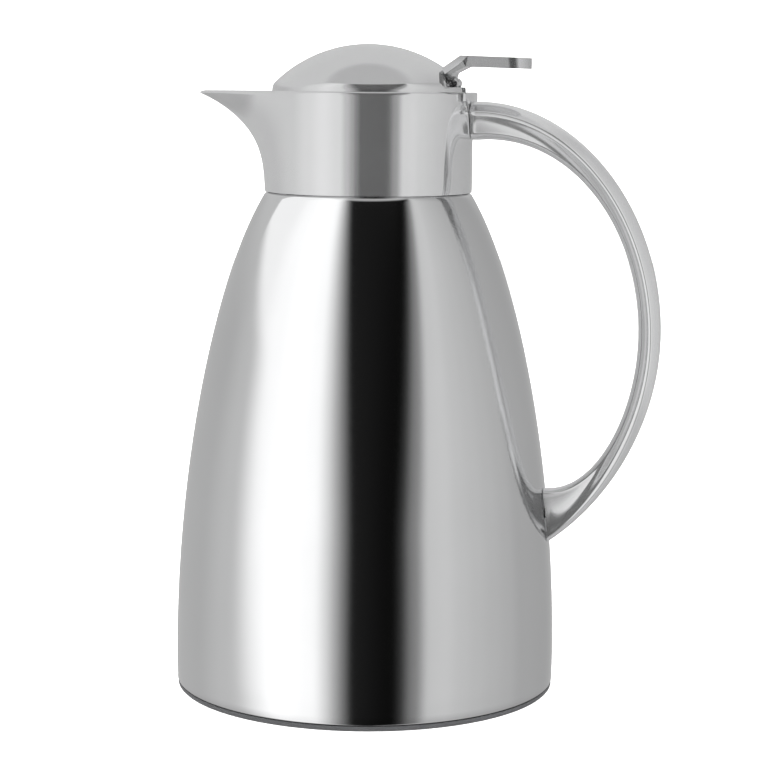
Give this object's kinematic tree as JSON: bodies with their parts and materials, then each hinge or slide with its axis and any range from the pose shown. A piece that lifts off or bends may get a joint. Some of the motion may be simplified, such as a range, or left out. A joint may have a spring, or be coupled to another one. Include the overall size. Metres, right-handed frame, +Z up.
{
  "type": "insulated jug",
  "caption": "Glass-lined vacuum jug with a polished shell, beak spout, curved handle and a domed lid tipped open by a thumb lever.",
  "frame": {"origin": "centre of the flat base, on the surface that the jug stands on, on the shell's axis", "axes": "+Z up along the shell's axis, +X towards the handle, -X towards the spout"},
  "size_m": [0.1922, 0.1516, 0.2553],
  "materials": {
    "shell_steel": "polished to a soft mirror",
    "collar_plating": "bright plating",
    "handle_plating": "bright plating",
    "dome_plating": "bright plating",
    "lever_plating": "bright plating",
    "bracket_steel": "satin",
    "pin_steel": "ground",
    "screw_steel": "machined",
    "zinc_plate": "zinc plated",
    "base_plastic": "fine texture",
    "inner_plastic": "smooth satin",
    "black_rubber": "matte",
    "silvered_glass": "silvered inside",
    "silicone": "translucent matte",
    "foam": "closed cells"
  },
  "bodies": {
    "jug": {"outer_shell": "shell_steel", "collar": "collar_plating", "handle": "handle_plating", "handle_top_screw": "screw_steel", "handle_foot_screw": "screw_steel", "handle_foot_plate": "zinc_plate", "clamp_ring": "inner_plastic", "pouring_funnel": "inner_plastic", "neck_gasket": "black_rubber", "glass_liner": "silvered_glass", "base_ring": "base_plastic", "foot_ring": "black_rubber", "base_cap": "base_plastic", "flask_cushion": "black_rubber", "hinge_bracket": "bracket_steel", "hinge_pin": "pin_steel", "bracket_screw_left": "screw_steel", "bracket_screw_right": "screw_steel"},
    "lid": {"lid_dome": "dome_plating", "thumb_lever": "lever_plating", "lever_screw_left": "screw_steel", "lever_screw_right": "screw_steel", "lid_inner_cover": "inner_plastic", "stopper_body": "inner_plastic", "stopper_foam": "foam", "stopper_seal": "silicone", "stopper_nut": "screw_steel", "stopper_screw": "screw_steel"}
  },
  "joints": [
    {"name": "lid_hinge", "type": "hinge", "parent": "jug", "child": "lid", "pos_m": [0.0344, 0, 0.2402], "axis": [0, 1, 0], "range_deg": [0, 29], "stiffness_Nm_per_rad": 0.02, "springref_deg": -28.65}
  ]
}
